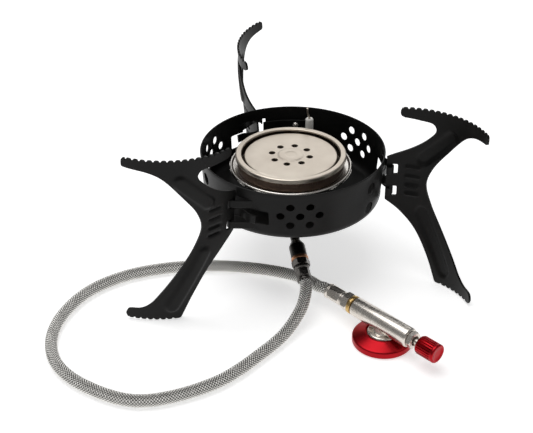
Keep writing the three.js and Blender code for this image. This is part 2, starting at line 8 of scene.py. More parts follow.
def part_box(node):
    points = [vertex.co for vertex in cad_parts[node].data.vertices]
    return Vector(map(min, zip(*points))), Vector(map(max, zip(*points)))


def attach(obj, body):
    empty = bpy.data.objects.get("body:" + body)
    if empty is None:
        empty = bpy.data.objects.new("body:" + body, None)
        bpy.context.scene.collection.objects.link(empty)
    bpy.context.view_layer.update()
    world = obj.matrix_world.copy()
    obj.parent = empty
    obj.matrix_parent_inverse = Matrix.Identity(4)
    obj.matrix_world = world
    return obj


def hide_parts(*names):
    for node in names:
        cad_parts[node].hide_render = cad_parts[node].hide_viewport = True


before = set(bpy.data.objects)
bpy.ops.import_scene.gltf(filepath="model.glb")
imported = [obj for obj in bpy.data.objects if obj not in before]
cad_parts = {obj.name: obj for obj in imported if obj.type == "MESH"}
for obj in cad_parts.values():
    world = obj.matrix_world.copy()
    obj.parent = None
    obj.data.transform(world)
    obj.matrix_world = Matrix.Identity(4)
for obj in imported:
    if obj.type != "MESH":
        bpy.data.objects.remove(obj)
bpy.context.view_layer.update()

# Everything is modelled in millimetres about the bowl's axis, with the ground
# at zero, and moved into the frame in metres when a piece is finished.
BURNER = Vector((-1.3, -1.2, 0))
MM = 0.001


def centre_of(node):
    low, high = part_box(node)
    return (Vector(low) + Vector(high)) / 2


cap_centre = centre_of("burner_cap")
BOWL_AXIS = Vector((cap_centre.x, cap_centre.y, 0)) - BURNER * MM
TO_FRAME = Matrix.Translation(BOWL_AXIS) @ Matrix.Scale(MM, 4)

BOWL_R = 64
WALL_TAPER = 0.07
BOWL_WALL = 0.9
BOWL_TOP = 91.3
BOWL_BASE = 55
BOWL_CORNER = 6

LEG_AZIMUTHS = {"leg_a": -36.7, "leg_b": 83.3, "leg_c": 203.3}
CLUSTER_AZIMUTHS = (4.9, 131.3, 248.6)
PAIR_AZIMUTHS = (-68, 57)
HINGE_OUT = 2.5
LEG_THICK = 1.6
LEG_SWING = {"leg_a": -3.4, "leg_b": -1.35, "leg_c": 3.15}
LEG_CURVE_R = 60.2
LEG_START = (2.01, 0.23)
LEG_HEADING = 8.1
LEG_LEAN = 0.093
LEAN_HEIGHT = 75
TOOTH_PITCH = 4.4
SLOT_HEIGHTS = (63.8, 80.2)

FEED_START = Vector((-4, 0, 48))
FEED_DIR = Vector((0.201, -0.884, -0.423)).normalized()
VALVE_START = Vector((25.3, -61.1, 15))
VALVE_DIR = Vector((0.702, -0.712, 0)).normalized()
DISC_AT = 50.3
HOSE_D = 8.4
HOSE_FROM = 65.9

RIVET_AZIMUTH = 178.2
RIVET_Z = 78.2
STRIP_R = 60.7
IGNITER = Vector((11.8, 47, 0))


# ------------------------------------------------------------------ materials
def material(name, color, metallic, roughness, specular=0.5):
    made = bpy.data.materials.new(name)
    made.use_nodes = True
    shader = made.node_tree.nodes["Principled BSDF"]
    shader.inputs["Base Color"].default_value = (*color, 1)
    shader.inputs["Metallic"].default_value = metallic
    shader.inputs["Roughness"].default_value = roughness
    shader.inputs["Specular IOR Level"].default_value = specular
    return made


def node(mat, kind, **inputs):
    made = mat.node_tree.nodes.new(kind)
    for key, value in inputs.items():
        made.inputs[key.replace("_", " ")].default_value = value
    return made


def link(mat, source, target):
    mat.node_tree.links.new(source, target)


def shader_of(mat):
    return mat.node_tree.nodes["Principled BSDF"]


def place(mat):
    return node(mat, "ShaderNodeTexCoord").outputs["Object"]


def noise(mat, vector, scale, detail=3.0, rough=0.55):
    made = node(mat, "ShaderNodeTexNoise", Scale=scale, Detail=detail, Roughness=rough)
    link(mat, vector, made.inputs["Vector"])
    return made.outputs["Fac"]


def spread(mat, value, low, high):
    """A 0 to 1 value stretched between two numbers."""
    made = node(mat, "ShaderNodeMapRange")
    made.inputs["From Min"].default_value = 0.3
    made.inputs["From Max"].default_value = 0.7
    made.inputs["To Min"].default_value = low
    made.inputs["To Max"].default_value = high
    link(mat, value, made.inputs["Value"])
    return made.outputs["Result"]


def tint(mat, value, first, second):
    """A colour between two, by a 0 to 1 value."""
    ramp = node(mat, "ShaderNodeValToRGB")
    ramp.color_ramp.elements[0].position = 0.3
    ramp.color_ramp.elements[0].color = (*first, 1)
    ramp.color_ramp.elements[1].position = 0.7
    ramp.color_ramp.elements[1].color = (*second, 1)
    link(mat, value, ramp.inputs["Fac"])
    return ramp.outputs["Color"]


def relief(mat, value, strength, depth_mm, under=None):
    made = node(mat, "ShaderNodeBump", Strength=strength, Distance=depth_mm * MM)
    link(mat, value, made.inputs["Height"])
    if under is not None:
        link(mat, under, made.inputs["Normal"])
    return made.outputs["Normal"]


def radius_about(mat, centre):
    """Distance from an upright axis, for marks left by turning."""
    shift = node(mat, "ShaderNodeVectorMath")
    shift.operation = "SUBTRACT"
    shift.inputs[1].default_value = centre
    link(mat, place(mat), shift.inputs[0])
    flat = node(mat, "ShaderNodeVectorMath")
    flat.operation = "MULTIPLY"
    flat.inputs[1].default_value = (1, 1, 0)
    link(mat, shift.outputs[0], flat.inputs[0])
    length = node(mat, "ShaderNodeVectorMath")
    length.operation = "LENGTH"
    link(mat, flat.outputs[0], length.inputs[0])
    spot = node(mat, "ShaderNodeCombineXYZ")
    link(mat, length.outputs["Value"], spot.inputs["X"])
    return spot.outputs["Vector"]


def black_coating(name):
    """Satin heat-proof paint: a fine orange-peel grain, rubbed here and there."""
    mat = material(name, (0.006, 0.006, 0.006), 0.0, 0.4, 0.16)
    where = place(mat)
    patches = noise(mat, where, 60, 4)
    grain = noise(mat, where, 2600, 2)
    shader = shader_of(mat)
    link(mat, tint(mat, patches, (0.004, 0.004, 0.004), (0.008, 0.0075, 0.007)),
         shader.inputs["Base Color"])
    link(mat, spread(mat, patches, 0.34, 0.48), shader.inputs["Roughness"])
    link(mat, relief(mat, grain, 0.35, 0.05), shader.inputs["Normal"])
    return mat


def turned_steel(name, light, dark, rough, centre):
    """Satin stainless with faint rings from turning and a warm heat tint."""
    mat = material(name, light, 1.0, rough)
    rings = noise(mat, radius_about(mat, centre), 2600, 4, 0.7)
    patches = noise(mat, place(mat), 45, 3)
    speckle = noise(mat, place(mat), 1500, 2)
    shader = shader_of(mat)
    link(mat, tint(mat, patches, dark, light), shader.inputs["Base Color"])
    link(mat, spread(mat, rings, rough - 0.07, rough + 0.09), shader.inputs["Roughness"])
    fine = relief(mat, speckle, 0.12, 0.02)
    link(mat, relief(mat, rings, 0.15, 0.02, fine), shader.inputs["Normal"])
    return mat


def plated(name, light, dark, rough, scratch=0.2):
    """Plated or polished metal with fine scratches and cloudy patches."""
    mat = material(name, light, 1.0, rough)
    where = place(mat)
    stretch = node(mat, "ShaderNodeVectorMath")
    stretch.operation = "MULTIPLY"
    stretch.inputs[1].default_value = (0.25, 1.0, 2.2)
    link(mat, where, stretch.inputs[0])
    lines = noise(mat, stretch.outputs[0], 1400, 4, 0.7)
    patches = noise(mat, where, 160, 3)
    shader = shader_of(mat)
    link(mat, tint(mat, patches, dark, light), shader.inputs["Base Color"])
    link(mat, spread(mat, lines, rough - 0.06, rough + 0.1), shader.inputs["Roughness"])
    link(mat, relief(mat, lines, scratch, 0.02), shader.inputs["Normal"])
    return mat


def woven_wire(name):
    """Bright wire with painted shade in the gaps: darker the less far each point of the weave stands out.
    """
    mat = plated(name, (0.92, 0.905, 0.87), (0.8, 0.785, 0.75), 0.3, 0.05)
    weave = node(mat, "ShaderNodeAttribute")
    weave.attribute_name = "weave"
    shader = shader_of(mat)
    bright = shader.inputs["Base Color"].links[0].from_socket
    # Painted shade: this mix darkens the wire colour in the gaps between the wires.
    gaps = node(mat, "ShaderNodeMix")
    gaps.data_type = "RGBA"
    dark, color, mixed = gaps.inputs[6], gaps.inputs[7], gaps.outputs[2]
    # The painted shade colour for the gaps between the wires.
    dark.default_value = (0.012, 0.011, 0.01, 1)
    link(mat, bright, color)
    link(mat, weave.outputs["Fac"], gaps.inputs["Factor"])
    link(mat, mixed, shader.inputs["Base Color"])
    return mat


def moulded(name, color, rough):
    """Plastic, rubber or ceramic with a slight mottling."""
    mat = material(name, color, 0.0, rough)
    where = place(mat)
    grain = noise(mat, where, 1800, 2)
    patches = noise(mat, where, 220, 2)
    shader = shader_of(mat)
    darker = tuple(0.8 * c for c in color)
    link(mat, tint(mat, patches, darker, color), shader.inputs["Base Color"])
    link(mat, spread(mat, patches, rough - 0.05, rough + 0.08), shader.inputs["Roughness"])
    link(mat, relief(mat, grain, 0.15, 0.03), shader.inputs["Normal"])
    return mat


burner_middle = tuple(BOWL_AXIS + BURNER * MM)
disc_middle = tuple(TO_FRAME @ (VALVE_START + VALVE_DIR * DISC_AT))
BLACK = black_coating("black_coating")
SATIN = turned_steel("satin_steel", (0.72, 0.65, 0.56), (0.6, 0.53, 0.45), 0.34, burner_middle)
BRIGHT = turned_steel("bright_steel", (0.86, 0.83, 0.79), (0.74, 0.7, 0.65), 0.22, burner_middle)
# Painted shade: steel darkened for the side band, standing for the shade inside the band's ports.
BAND_IN_PAINTED_SHADE = turned_steel("heated_steel", (0.12, 0.085, 0.066), (0.07, 0.05, 0.04), 0.42, burner_middle)
NICKEL = plated("nickel", (0.78, 0.735, 0.68), (0.68, 0.63, 0.57), 0.26, 0.03)
# Painted shade: nickel darkened to near black for the jet holder, standing for the shade and dark
# reflections beneath the bowl.
NICKEL_IN_DEEP_SHADE = plated("nickel_deep_painted_shade", (0.06, 0.055, 0.05), (0.03, 0.028, 0.026), 0.25)
# Painted shade: nickel darkened for the feed nut and crimp sleeve, standing for the shade and dark
# reflections beneath the bowl.
NICKEL_IN_SHADE = plated("nickel_painted_shade", (0.16, 0.15, 0.14), (0.08, 0.075, 0.07), 0.24)
BRASS = plated("brass", (0.72, 0.5, 0.2), (0.5, 0.33, 0.13), 0.25)
COPPER = plated("copper", (0.6, 0.3, 0.16), (0.34, 0.16, 0.09), 0.3)
BRAID = woven_wire("braid_wire")
RED = turned_steel("red_anodised", (0.42, 0.012, 0.018), (0.32, 0.008, 0.013), 0.34, disc_middle)
CERAMIC = moulded("ceramic", (0.86, 0.84, 0.8), 0.25)
RUBBER = moulded("rubber", (0.02, 0.02, 0.02), 0.7)
PLASTIC = moulded("plastic", (0.025, 0.025, 0.026), 0.45)


# ---------------------------------------------------------------- mesh helpers
def rounded(profile, radius, closed=False):
    """The same outline with each corner replaced by a small curve."""
    points = [Vector(p) for p in profile]
    count = len(points)
    smooth = []
    for i, corner in enumerate(points):
        if not closed and i in (0, count - 1):
            smooth.append(corner)
            continue
        before = points[i - 1] - corner
        after = points[(i + 1) % count] - corner
        reach = min(radius, 0.45 * before.length, 0.45 * after.length)
        start = corner + before.normalized() * reach
        end = corner + after.normalized() * reach
        for step in range(4):
            t = step / 3
            smooth.append(start * (1 - t) ** 2 + corner * 2 * t * (1 - t) + end * t ** 2)
    return smooth


def turned(profile, steps=96, closed=False):
    """A profile of (radius, height) points swept round the Z axis."""
    bm = bmesh.new()
    rings = []
    for point in profile:
        if point[0] < 1e-6:
            rings.append([bm.verts.new((0, 0, point[1]))] * steps)
            continue
        rings.append([bm.verts.new((point[0] * math.cos(2 * math.pi * i / steps),
                                    point[0] * math.sin(2 * math.pi * i / steps), point[1]))
                      for i in range(steps)])
    pairs = list(zip(rings, rings[1:]))
    if closed:
        pairs.append((rings[-1], rings[0]))
    for low, high in pairs:
        for i in range(steps):
            j = (i + 1) % steps
            corners = list(dict.fromkeys([low[i], low[j], high[j], high[i]]))
            if len(corners) > 2:
                bm.faces.new(corners)
    return bm


def ring(profile, radius=0.3, steps=128):
    return turned(rounded(profile, radius, closed=True), steps, closed=True)


def solid_turn(profile, radius=0.3, steps=96):
    return turned(rounded(profile, radius), steps)


def prism(outline, low, high):
    """A flat outline pulled up from one height to another."""
    bm = bmesh.new()
    bottom = [bm.verts.new((x, y, low)) for x, y in outline]
    top = [bm.verts.new((x, y, high)) for x, y in outline]
    bm.faces.new(list(reversed(bottom)))
    bm.faces.new(top)
    for i in range(len(outline)):
        j = (i + 1) % len(outline)
        bm.faces.new((bottom[i], bottom[j], top[j], top[i]))
    return bm


def hexagon(across_flats, turn_by=0.0):
    corner = across_flats / math.sqrt(3)
    return [(corner * math.cos(math.pi * (i + turn_by) / 3),
             corner * math.sin(math.pi * (i + turn_by) / 3)) for i in range(6)]


def strip(path, thickness, low, high):
    """A band of sheet standing on edge along a plan path, with rounded edges."""
    bm = bmesh.new()
    half = thickness / 2
    soft = 0.3 * thickness
    section = [(-half, low + soft), (-half + soft, low), (half - soft, low), (half, low + soft),
               (half, high - soft), (half - soft, high), (-half + soft, high),
               (-half, high - soft)]
    loops = []
    for i, point in enumerate(path):
        before = path[max(i - 1, 0)]
        after = path[min(i + 1, len(path) - 1)]
        across = Vector((before.y - after.y, after.x - before.x)).normalized()
        loops.append([bm.verts.new((point.x + across.x * side, point.y + across.y * side, z))
                      for side, z in section])
    for first, second in zip(loops, loops[1:]):
        for i in range(len(section)):
            j = (i + 1) % len(section)
            bm.faces.new((first[i], first[j], second[j], second[i]))
    bm.faces.new(list(reversed(loops[0])))
    bm.faces.new(loops[-1])
    return bm


def moved(bm, matrix):
    bm.transform(matrix)
    return bm


def along(bm, origin, direction):
    turn = direction.to_track_quat("Z", "Y").to_matrix().to_4x4()
    return moved(bm, Matrix.Translation(origin) @ turn)


def at_azimuth(bm, degrees):
    return moved(bm, Matrix.Rotation(math.radians(degrees - 90), 4, "Z"))


def outward(degrees):
    angle = math.radians(degrees)
    return Vector((math.sin(angle), -math.cos(angle), 0))


def joined(*parts):
    whole = bmesh.new()
    for part in parts:
        mesh = bpy.data.meshes.new("part")
        part.to_mesh(mesh)
        part.free()
        whole.from_mesh(mesh)
        bpy.data.meshes.remove(mesh)
    return whole


def to_object(name, bm):
    bmesh.ops.recalc_face_normals(bm, faces=bm.faces)
    mesh = bpy.data.meshes.new(name)
    bm.to_mesh(mesh)
    bm.free()
    made = bpy.data.objects.new(name, mesh)
    bpy.context.scene.collection.objects.link(made)
    return made


def bake(obj):
    """Replaces an object's mesh with what its modifiers make of it."""
    view = bpy.context.evaluated_depsgraph_get()
    mesh = bpy.data.meshes.new_from_object(obj.evaluated_get(view))
    obj.modifiers.clear()
    old = obj.data
    obj.data = mesh
    bpy.data.meshes.remove(old)


def boolean(obj, cutters, operation="DIFFERENCE"):
    """Cuts an object, both in millimetres, by one mesh of separate cutters."""
    tool = to_object("cutter", cutters)
    cut = obj.modifiers.new("cut", "BOOLEAN")
    cut.operation = operation
    cut.solver = "EXACT"
    cut.use_self = True
    cut.object = tool
    bake(obj)
    bpy.data.objects.remove(tool)


def finish(obj, mat, stands_for, slot, body="stove", sharp=35, bevel=0.0):
    """Moves a finished piece into the frame and gives it its material and body."""
    obj.data.transform(TO_FRAME)
    obj.data.materials.clear()
    obj.data.materials.append(mat)
    for face in obj.data.polygons:
        face.use_smooth = True
    obj.data.set_sharp_from_angle(angle=math.radians(sharp))
    if bevel:
        edges = obj.modifiers.new("soft edges", "BEVEL")
        edges.width = bevel * MM
        edges.segments = 2
        edges.limit_method = "ANGLE"
        edges.angle_limit = math.radians(sharp)
        edges.harden_normals = True
    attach(obj, body)
    if stands_for:
        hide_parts(*stands_for)
    return obj


def piece(name, bm, mat, stands_for, slot, **how):
    return finish(to_object(name, bm), mat, stands_for, slot, **how)


# --------------------------------------------------------------------- camera
def make_camera():
    yaw, pitch, roll = -0.0238, 0.5562, 0.0017
    focal_pixels, frame_width, sensor = 1263.5, 533, 36
    forward = Vector((math.sin(yaw) * math.cos(pitch), math.cos(yaw) * math.cos(pitch),
                      -math.sin(pitch)))
    data = bpy.data.cameras.new("camera")
    data.sensor_width = sensor
    data.lens = focal_pixels * sensor / frame_width
    data.clip_start = 0.05
    data.clip_end = 20
    camera = bpy.data.objects.new("camera", data)
    bpy.context.scene.collection.objects.link(camera)
    camera.location = TO_FRAME @ Vector((0, -765.7, 511.7))
    camera.rotation_mode = "QUATERNION"
    camera.rotation_quaternion = forward.to_track_quat("-Z", "Y") @ Quaternion((0, 0, 1), -roll)
    bpy.context.scene.camera = camera


# ----------------------------------------------------------------------- hose
def feed_point(t):
    return FEED_START + FEED_DIR * t


def valve_point(t, drop=0.0):
    return VALVE_START + VALVE_DIR * t - Vector((0, 0, drop))


def hose_route():
    """The route's points, the same as in the solid model."""
    ground = HOSE_D / 2 + 0.1
    loop = [(-15, -113), (-48, -149), (-93.5, -166.5), (-129, -152.5), (-149, -132.5),
            (-157, -109), (-155, -81), (-141, -51.5), (-119, -32.5), (-91, -21.5),
            (-57, -17.3), (-28, -19.5)]
    return [
        feed_point(HOSE_FROM), feed_point(HOSE_FROM + 4),
        Vector((7.8, -76, 13.2)), Vector((2.4, -87.5, 8.6)), Vector((-4.6, -99, 5.4)),
        *[Vector((x, y, ground)) for x, y in loop],
        Vector((-4, -27, 5.2)), Vector((11, -41, 9.6)),
        valve_point(-9, 1.4), valve_point(-4), valve_point(0),
    ]


def smooth_route(points, per_span=60):
    """A centripetal Catmull-Rom curve through the points."""
    ends = [2 * points[0] - points[1], *points, 2 * points[-1] - points[-2]]
    line = []
    for a, b, c, d in zip(ends, ends[1:], ends[2:], ends[3:]):
        first, middle, last = [math.sqrt((q - p).length) for p, q in ((a, b), (b, c), (c, d))]
        start = (b - a) / first - (c - a) / (first + middle) + (c - b) / middle
        finish_ = (c - b) / middle - (d - b) / (middle + last) + (d - c) / last
        start, finish_ = start * middle, finish_ * middle
        for i in range(per_span):
            t = i / per_span
            line.append(b * (2 * t**3 - 3 * t**2 + 1) + start * (t**3 - 2 * t**2 + t)
                        + c * (3 * t**2 - 2 * t**3) + finish_ * (t**3 - t**2))
    return [*line, points[-1]]


def even_steps(line, step):
    """The same line with its points an even distance apart, and its length."""
    lengths = [(b - a).length for a, b in zip(line, line[1:])]
    total = sum(lengths)
    count = round(total / step)
    even = []
    walked = 0.0
    index = 0
    for i in range(count + 1):
        wanted = total * i / count
        while index < len(lengths) - 1 and walked + lengths[index] < wanted:
            walked += lengths[index]
            index += 1
        part = (wanted - walked) / lengths[index]
        even.append(line[index].lerp(line[index + 1], min(part, 1)))
    return even, total


def weave_height(around, distance, bands, pitch):
    """How far a braid's surface stands out: flat bands of wires, over and under."""
    slant = around * bands / (2 * math.pi)
    right = slant + distance / pitch
    left = slant - distance / pitch
    over = math.sin(math.pi * right) * math.sin(math.pi * left)
    band = left if over > 0 else right
    across = abs((band % 1) - 0.5) * 2
    return abs(over) ** 0.7 * (1 - 0.5 * across ** 4)


def braided_hose():
    line, total = even_steps(smooth_route(hose_route()), 0.24)
    around_steps = 96
    bands = 12
    pitch = 1.9
    inner, raised = HOSE_D / 2 - 0.6, 0.7
    verts = []
    heights = []
    side = Vector((0, 0, 1))
    for i, point in enumerate(line):
        ahead = line[min(i + 1, len(line) - 1)] - line[max(i - 1, 0)]
        ahead.normalize()
        side = (side - ahead * side.dot(ahead)).normalized()
        across = ahead.cross(side)
        distance = total * i / (len(line) - 1)
        for k in range(around_steps):
            angle = 2 * math.pi * k / around_steps
            height = weave_height(angle, distance, bands, pitch)
            # Painted shade: how much the weave's low places darken the wire colour.
            heights.append(max(0.0, min(1.0, 3.2 * (height - 0.24))))
            r = inner + raised * height
            verts.append(point + (side * math.cos(angle) + across * math.sin(angle)) * r)
    faces = []
    for i in range(len(line) - 1):
        for k in range(around_steps):
            j = (k + 1) % around_steps
            low, high = i * around_steps, (i + 1) * around_steps
            faces.append((low + k, low + j, high + j, high + k))
    last = (len(line) - 1) * around_steps
    faces.append(tuple(reversed(range(around_steps))))
    faces.append(tuple(last + k for k in range(around_steps)))
    mesh = bpy.data.meshes.new("hose")
    mesh.from_pydata(verts, [], faces)
    # The painted gap shade is stored on the mesh as the weave attribute.
    mesh.attributes.new("weave", "FLOAT", "POINT").data.foreach_set("value", heights)
    made = bpy.data.objects.new("braided_hose", mesh)
    bpy.context.scene.collection.objects.link(made)
    finish(made, BRAID, ["hose"], "braid", sharp=180)
    path = [TO_FRAME @ p for p in line[::5]] + [TO_FRAME @ line[-1]]
    return made, path, total * MM


# ----------------------------------------------------------------------- bowl
def wall_hole(degrees, z, radius):
    hole = solid_turn([(0, BOWL_R - 12), (radius, BOWL_R - 12), (radius, BOWL_R + 4),
                       (0, BOWL_R + 4)], 0.01, 40)
    return along(hole, Vector((0, 0, z)), outward(degrees))


def upright_hole(x, y, radius):
    hole = solid_turn([(0, 50), (radius, 50), (radius, 60), (0, 60)], 0.01, 40)
    return moved(hole, Matrix.Translation((x, y, 0)))


def hole_cluster(azimuth):
    step = math.degrees(13.3 / BOWL_R)
    middle, rise = 74.3, 7
    places = [(-0.5, rise), (0.5, rise), (-1, 0), (0, 0), (1, 0), (-0.5, -rise), (0.5, -rise)]
    return [wall_hole(azimuth + place * step, middle + up, 2.8) for place, up in places]


def hole_pair(azimuth):
    return [wall_hole(azimuth, z, 4.35) for z in (64.5, 80)]


def rounded_window(y0, y1, z0, z1, corner=1.2):
    outline = rounded([(y0, z0), (y1, z0), (y1, z1), (y0, z1)], corner, closed=True)
    window = prism([(p.x, p.y) for p in outline], 50, 75)
    to_wall = Matrix(((0, 0, 1, 0), (1, 0, 0, 0), (0, 1, 0, 0), (0, 0, 0, 1)))
    return moved(window, to_wall)


def hinge_window(hinge):
    near = rounded_window(-5, 13.5, 60.4, 83.6)
    far = rounded_window(0, 24, 66.2, 76.6)
    return [at_azimuth(cut, hinge) for cut in (near, far)]


def wall_radius(z):
    return BOWL_R - WALL_TAPER * (BOWL_TOP - z)


def wall_point(side, z):
    middle = wall_radius(z) - BOWL_WALL / 2
    return Vector((math.sqrt(middle * middle - side * side), side))


def finger(hinge, middle):
    """A lanced finger that runs off the wall and curls round the leg's edge."""
    centre = Vector((BOWL_R + HINGE_OUT, 0))
    curl_r = 3.3
    root = wall_point(14, middle)
    reach = root - centre
    begin = math.atan2(reach.y, reach.x) - math.acos(curl_r / reach.length)
    end = math.radians(-110)
    curl = [centre + curl_r * Vector((math.cos(a), math.sin(a)))
            for a in (begin + (end - begin) * i / 20 for i in range(21))]
    path = [wall_point(17, middle), wall_point(15.5, middle), root, root.lerp(curl[0], 0.5), *curl]
    return at_azimuth(strip(path, BOWL_WALL, middle - 2.7, middle + 2.7), hinge)


def bezier_through(points, per_span=8):
    flat = [Vector((p.x, p.y, 0)) for p in points]
    return [Vector((p.x, p.y)) for p in smooth_route(flat, per_span)]


def bowl():
    floor_top = BOWL_BASE + BOWL_WALL
    corner_top = BOWL_BASE + BOWL_CORNER
    middle = (wall_radius(corner_top) - BOWL_CORNER, corner_top)

    def corner(radius, begin, end):
        angles = [math.radians(begin + (end - begin) * i / 10) for i in range(11)]
        return [(middle[0] + radius * math.cos(a), middle[1] + radius * math.sin(a))
                for a in angles]

    def climb(inset, begin, end):
        heights = [begin + (end - begin) * i / 10 for i in range(1, 10)]
        return [(wall_radius(z) - inset, z) for z in heights]

    lip = BOWL_TOP - 0.45
    rim = [(BOWL_R - 0.45 + 0.5 * math.cos(math.radians(a)),
            lip + 0.45 * math.sin(math.radians(a))) for a in range(0, 181, 30)]
    spans = [(r, BOWL_BASE) for r in (0, 15, 30, 45)]
    inner_spans = [(r, floor_top) for r in (45, 30, 15, 0)]
    profile = [*spans, *corner(BOWL_CORNER, -90, 0), *climb(0, corner_top, lip), *rim,
               *climb(BOWL_WALL, lip, corner_top), *corner(BOWL_CORNER - BOWL_WALL, 0, -90), *inner_spans]
    shell = to_object("pressed_bowl", turned(profile, 180))
    hinges = list(LEG_AZIMUTHS.values())
    cutters = [hole for azimuth in CLUSTER_AZIMUTHS for hole in hole_cluster(azimuth)]
    cutters += [hole for azimuth in PAIR_AZIMUTHS for hole in hole_pair(azimuth)]
    cutters.append(wall_hole(RIVET_AZIMUTH, RIVET_Z, 1.6))
    cutters.append(upright_hole(BURNER.x, BURNER.y, 8.2))
    cutters.append(upright_hole(IGNITER.x, IGNITER.y, 2))
    screw_at = outward(150) * 36.5
    cutters.append(upright_hole(screw_at.x, screw_at.y, 1.65))
    boolean(shell, joined(*cutters))
    for index in range(2):
        boolean(shell, joined(*[hinge_window(hinge)[index] for hinge in hinges]))
    extra = joined(*[finger(hinge, z) for hinge in hinges for z in SLOT_HEIGHTS])
    whole = bmesh.new()
    whole.from_mesh(shell.data)
    made = to_object("bowl_shell", joined(whole, extra))
    bpy.data.objects.remove(shell)
    finish(made, BLACK, ["bowl"], "bowl", sharp=30)


# ----------------------------------------------------------------------- legs
def toothed_edge(begin, end, depth, flip=1):
    """Round teeth in a row, with narrow rounded gaps between them."""
    run = end - begin
    count = round(run.length / TOOTH_PITCH)
    down = Vector((run.y, -run.x)).normalized() * flip
    points = []
    for i in range(count):
        for fraction, sink in ((0.0, 0.75), (0.07, 0.3), (0.2, 0.05), (0.4, 0.0), (0.6, 0.05),
                               (0.73, 0.3), (0.8, 0.75), (0.9, 1.0)):
            points.append(begin.lerp(end, (i + fraction) / count) + down * depth * sink)
    return points


def leg_outline():
    """Flat outline: first number along the plate from the hinge, second height."""
    def curve(*points):
        return bezier_through([Vector(p) for p in points], 7)

    arm_foot = curve((-1, 89), (15, 96.2), (26, 104.5), (32, 112.6), (30, 116.4), (20, 117.6),
                     (9.4, 118.5))
    arm_end = curve((9.4, 118.5), (7, 119.8), (6.3, 122.3), (7.4, 125.2))
    outer_end = curve((79.6, 128.6), (81.2, 127.8), (81.6, 125), (81, 122.4), (79, 121.8))
    outer_side = curve((79, 121.8), (64, 118.8), (55.3, 114), (42, 98.8), (31, 83.1),
                       (27.5, 71.5), (31.7, 58), (40.5, 42.6), (53.8, 22.8), (61, 13.6),
                       (67, 9.9), (73.6, 9.2))
    toe = curve((73.6, 9.2), (76, 8.3), (77.2, 5), (75.8, 1.8))
    inner_side = curve((39.4, 1), (31.6, 18.8), (21, 37), (9, 49.6), (-1, 57.2))
    teeth = toothed_edge(Vector((7.6, 125.4)), Vector((79.4, 128.6)), 1.5)
    grips = toothed_edge(Vector((75.2, 1.6)), Vector((45, 0)), 1.1)
    heel = [Vector((43.5, 0)), Vector((41, 0)), Vector((40, 0.3))]
    return [*arm_foot, *arm_end[1:], *teeth, *outer_end, *outer_side[1:], *toe[1:], *grips,
            *heel, *inner_side]


def slot_outline(middle):
    half = 3.7
    outline = rounded([(2, middle - half), (6.8, middle - half), (6.8, middle + half),
                       (2, middle + half)], 0.9, closed=True)
    return [Vector(p) for p in outline]


def leg_plan(s):
    start = math.radians(LEG_HEADING)
    now = start - s / LEG_CURVE_R
    out = LEG_START[0] + LEG_CURVE_R * (math.sin(start) - math.sin(now))
    side = LEG_START[1] + LEG_CURVE_R * (math.cos(now) - math.cos(start))
    return Vector((BOWL_R + out, side)), now


def groove(point, begin, end, half_width, depth, edge=1.4):
    """A long dent with round ends: full depth inside, fading over its edge."""
    run = end - begin
    t = max(0.0, min(1.0, (point - begin).dot(run) / run.length_squared))
    away = (point - begin.lerp(end, t)).length
    fade = max(0.0, min(1.0, (half_width + edge - away) / (2 * edge)))
    return depth * fade * fade * (3 - 2 * fade)


def pressed_in(point):
    """How far the sheet is pressed sideways at a point of the flat outline."""
    upper = groove(point, Vector((44, 110.5)), Vector((24, 90)), 4.2, 1.5, 1.1)
    lower = groove(point, Vector((25.5, 50)), Vector((46, 11)), 4.4, 1.6, 1.1)
    ribs = sum(groove(point, Vector((13.2, z)), Vector((21.8, z)), 1.0, 1.2, 0.8)
               for z in (82.5, 75.2, 68.6, 62.4))
    return upper + lower - ribs


def grid_plate(low, high, step):
    """A flat slab whose two faces are fine grids, for bending."""
    columns = round((high.x - low.x) / step)
    rows = round((high.y - low.y) / step)
    bm = bmesh.new()
    sheets = []
    for z in (-LEG_THICK / 2, LEG_THICK / 2):
        sheets.append([[bm.verts.new((low.x + i * step, low.y + j * step, z))
                        for j in range(rows + 1)] for i in range(columns + 1)])
    for sheet in sheets:
        for i in range(columns):
            for j in range(rows):
                bm.faces.new((sheet[i][j], sheet[i + 1][j], sheet[i + 1][j + 1],
                              sheet[i][j + 1]))
    border = ([(i, 0) for i in range(columns)] + [(columns, j) for j in range(rows)]
              + [(i, rows) for i in range(columns, 0, -1)] + [(0, j) for j in range(rows, 0, -1)])
    for (i, j), (k, m) in zip(border, [*border[1:], border[0]]):
        bm.faces.new((sheets[0][i][j], sheets[0][k][m], sheets[1][k][m], sheets[1][i][j]))
    return bm


def flat_leg():
    plate = to_object("flat_leg", grid_plate(Vector((-3.3, -2.7)), Vector((84.3, 131.1)), 1.2))
    outline = prism([(p.x, p.y) for p in leg_outline()], -5, 5)
    boolean(plate, outline, "INTERSECT")
    slots = [prism([(p.x, p.y) for p in slot_outline(z)], -6, 6) for z in SLOT_HEIGHTS]
    boolean(plate, joined(*slots))
    return plate


def leg_tab():
    """The tab reaches from the hinge into the bowl's window."""
    first, _ = leg_plan(0.8)
    rest = [(0.6, 0.5), (-1.4, 3.2), (-1.7, 6.6), (-0.7, 10.4), (-0.4, 14), (-1.4, 17.8)]
    path = bezier_through([first, *[Vector((BOWL_R + out, side)) for out, side in rest]])
    return strip(path, 1.2, 68.2, 74.4)


def lean(bm):
    for vert in bm.verts:
        vert.co.y += LEG_LEAN * (vert.co.z - LEAN_HEIGHT)
    return bm


def swung(bm, degrees):
    hinge = Vector((BOWL_R + HINGE_OUT, 0, 0))
    turn = Matrix.Rotation(math.radians(degrees), 4, "Z")
    return moved(bm, Matrix.Translation(hinge) @ turn @ Matrix.Translation(-hinge))


